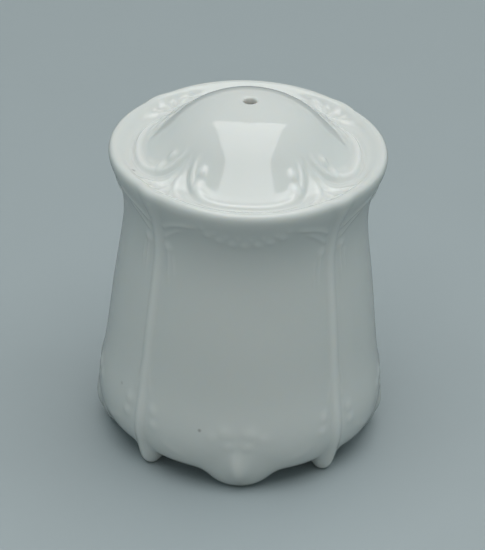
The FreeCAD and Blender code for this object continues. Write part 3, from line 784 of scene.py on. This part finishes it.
def specks(g):
    """Share of iron in the glaze: rare tiny dots, and the few larger kiln specks."""
    cells = g.nodes.new("ShaderNodeTexVoronoi")
    cells.inputs["Scale"].default_value = 170.0
    g.links.new(g.coordinates, cells.inputs["Vector"])
    dot = g.remap(cells.outputs["Distance"], 0.020, 0.034, 1.0, 0.0)
    split = g.nodes.new("ShaderNodeSeparateColor")
    g.links.new(cells.outputs["Color"], split.inputs[0])
    rare = g.maths("GREATER_THAN", split.outputs[0], 0.98)
    share = g.maths("MULTIPLY", dot, rare, clamp=True)
    for place, radius, strength in KILN_SPECKS:
        gap = g.distance_to([value * MM for value in place])
        spot = g.remap(gap, radius * 0.3 * MM, radius * MM, strength, 0.0)
        share = g.maths("MAXIMUM", share, spot)
    return share


def porcelain_material():
    """Glazed porcelain, its tone darker in grooves and lighter on ridges and ribs partly as painted
    shade and highlight, bare biscuit where the feet stand, and a painted glow in the hollow.
    """
    material, shader, g = new_material("porcelain")
    relief = g.attribute("relief")
    tone = g.mix(g.noise(45.0, detail=3.0), *GLAZE)
    # darker pooled glaze in the grooves, partly painted shade; lighter thin glaze on raised relief,
    # and the painted highlight along the ribs
    tone = g.mix(g.remap(relief, -0.35, 0.1, 0.6, 0.0), tone, POOLED_GLAZE_AND_SHADE)
    tone = g.mix(g.remap(relief, 0.08, 0.4, 0.0, 0.8), tone, THIN_GLAZE_AND_HIGHLIGHT)
    tone = g.mix(specks(g), tone, IRON_BROWN)
    ragged = g.maths("MULTIPLY", g.noise(900.0), 0.0003)
    level = g.maths("SUBTRACT", g.axis("Z"), ragged)
    bare = g.remap(level, 0.00002, 0.00018, 1.0, 0.0)
    tone = g.mix(bare, tone, g.mix(g.noise(2500.0, detail=4.0), *BISCUIT))
    g.link(tone, shader.inputs["Base Color"])
    gloss = g.remap(g.noise(120.0, detail=4.0), 0.3, 0.7, 0.05, 0.10)
    smears = g.remap(g.noise(28.0, detail=5.0, roughness=0.65), 0.52, 0.75, 0.0, 0.06)
    rough = g.maths("MAXIMUM", g.maths("ADD", gloss, smears), g.maths("MULTIPLY", bare, 0.85))
    g.link(rough, shader.inputs["Roughness"])
    wave = g.bump(g.noise(140.0, detail=1.0), distance=0.00006, strength=0.6)
    peel = g.bump(g.noise(1100.0), distance=0.000008, strength=0.5, normal=wave)
    g.link(peel, shader.inputs["Normal"])
    # painted glow: the bore and the cavity give off light that lightens the hollow
    painted_glow = g.maths("MULTIPLY", g.attribute("hollow"), PAINTED_GLOW_STRENGTH)
    g.link(painted_glow, shader.inputs["Emission Strength"])
    shader.inputs["Emission Color"].default_value = PAINTED_GLOW_COLOUR
    shader.inputs["IOR"].default_value = 1.52
    shader.inputs["Coat Weight"].default_value = 0.25
    shader.inputs["Coat Roughness"].default_value = 0.04
    shader.inputs["Subsurface Weight"].default_value = 0.35
    shader.inputs["Subsurface Radius"].default_value = (1.0, 0.85, 0.7)
    shader.inputs["Subsurface Scale"].default_value = 0.0018
    return material


def plug_material():
    """Soft moulded plastic, faintly mottled and scuffed."""
    material, shader, g = new_material("plug_plastic")
    tone = g.mix(g.noise(160.0, detail=3.0), *PLASTIC)
    scuff = g.remap(g.noise(700.0, detail=6.0, roughness=0.7), 0.56, 0.72, 0.0, 0.5)
    g.link(g.mix(scuff, tone, SCUFFED_PLASTIC), shader.inputs["Base Color"])
    rough = g.remap(g.noise(420.0, detail=3.0), 0.3, 0.7, 0.38, 0.55)
    g.link(rough, shader.inputs["Roughness"])
    grain = g.bump(g.noise(3200.0, detail=3.0), distance=0.00003, strength=0.6)
    g.link(grain, shader.inputs["Normal"])
    shader.inputs["Subsurface Weight"].default_value = 0.3
    shader.inputs["Subsurface Scale"].default_value = 0.003
    return material


def floor_material():
    """Matt studio floor, paler to the camera than in the light that it throws back."""
    material, shader, g = new_material("studio_floor")
    seen = g.nodes.new("ShaderNodeLightPath").outputs["Is Camera Ray"]
    tone = g.mix(g.noise(3.0, detail=4.0), *STUDIO_GREY)
    g.link(g.mix(seen, BOUNCED_GREY, tone), shader.inputs["Base Color"])
    rough = g.remap(g.noise(60.0, detail=3.0), 0.3, 0.7, 0.45, 0.55)
    g.link(rough, shader.inputs["Roughness"])
    grain = g.bump(g.noise(1800.0, detail=4.0), distance=0.00003, strength=0.4)
    g.link(grain, shader.inputs["Normal"])
    return material


# ---------------------------------------------------------------- stage


def add_floor():
    h = FLOOR_HALF
    mesh = bpy.data.meshes.new("studio_floor")
    mesh.from_pydata([(-h, -h, 0), (h, -h, 0), (h, h, 0), (-h, h, 0)], [], [(0, 1, 2, 3)])
    mesh.materials.append(floor_material())
    floor = bpy.data.objects.new("studio_floor", mesh)
    bpy.context.scene.collection.objects.link(floor)
    return floor


def add_softbox():
    """The main light, overhead. The glaze mirrors the window card instead of it."""
    light = bpy.data.lights.new("softbox", "AREA")
    light.shape = "RECTANGLE"
    light.size, light.size_y = SOFTBOX_SIZE
    light.energy = SOFTBOX_POWER
    light.color = SOFTBOX_COLOUR
    box = bpy.data.objects.new("softbox", light)
    box.location = SOFTBOX_PLACE
    box.rotation_mode = "QUATERNION"
    aim = Vector(SOFTBOX_TARGET) - Vector(SOFTBOX_PLACE)
    box.rotation_quaternion = aim.to_track_quat("-Z", "Y")
    box.visible_glossy = False
    bpy.context.scene.collection.objects.link(box)


def add_window():
    """The softbox as the glaze mirrors it: a bright card that only reflections see."""
    edge = WINDOW_HALF + [(-x, y, z) for x, y, z in WINDOW_HALF[-2:0:-1]]
    count = len(edge)
    fan = [(0, k + 1, (k + 1) % count + 1) for k in range(count)]
    mesh = bpy.data.meshes.new("window")
    mesh.from_pydata([WINDOW_MIDDLE] + edge, [], fan)
    material = bpy.data.materials.new("window")
    material.use_nodes = True
    nodes = material.node_tree.nodes
    nodes.clear()
    glow, output = nodes.new("ShaderNodeEmission"), nodes.new("ShaderNodeOutputMaterial")
    glow.inputs["Color"].default_value = WINDOW_COLOUR
    glow.inputs["Strength"].default_value = WINDOW_GLOW
    material.node_tree.links.new(glow.outputs[0], output.inputs["Surface"])
    mesh.materials.append(material)
    window = bpy.data.objects.new("window", mesh)
    bpy.context.scene.collection.objects.link(window)
    for sight in ("camera", "diffuse", "transmission", "volume_scatter", "shadow"):
        setattr(window, f"visible_{sight}", False)


def add_world():
    """Soft light from all round, which depends on the direction that it comes from."""
    world = bpy.data.worlds.new("studio")
    world.use_nodes = True
    g = Graph(world.node_tree, coordinates="Generated")
    background = g.nodes["Background"]
    sideways = g.maths("ABSOLUTE", g.axis("X"))
    g.link(g.mix(sideways, SKY_FRONT, SKY_SIDE), background.inputs["Color"])
    strength = g.remap(g.axis("Z"), 0.0, 1.0, HORIZON_LIGHT, ZENITH_LIGHT)
    g.link(strength, background.inputs["Strength"])
    bpy.context.scene.world = world


def add_camera():
    """Long lens looking down at the front panel, slightly rolled."""
    back = Vector((0.0, -math.cos(CAMERA_ELEVATION), math.sin(CAMERA_ELEVATION)))
    data = bpy.data.cameras.new("camera")
    data.sensor_width = 36.0
    data.lens = CAMERA_LENS
    camera = bpy.data.objects.new("camera", data)
    camera.location = Vector(CAMERA_TARGET) + back * CAMERA_DISTANCE
    turn = (-back).to_track_quat("-Z", "Y").to_matrix()
    turn = turn @ Matrix.Rotation(CAMERA_ROLL, 3, "Z")
    camera.rotation_mode = "QUATERNION"
    camera.rotation_quaternion = turn.to_quaternion()
    bpy.context.scene.collection.objects.link(camera)
    bpy.context.scene.camera = camera


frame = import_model()

body = shaker(porcelain_material())
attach(body, "shaker")
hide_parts("shaker_body")

stopper = plug(plug_material())
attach(stopper, "stopper")
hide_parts("base_stopper")

floor = add_floor()
floor.parent = frame["bodies"]["stopper"]  # sinks with the pulled plug, so that the plug shows
add_softbox()
add_window()
add_world()
add_camera()
bpy.context.scene.view_settings.view_transform = "Standard"
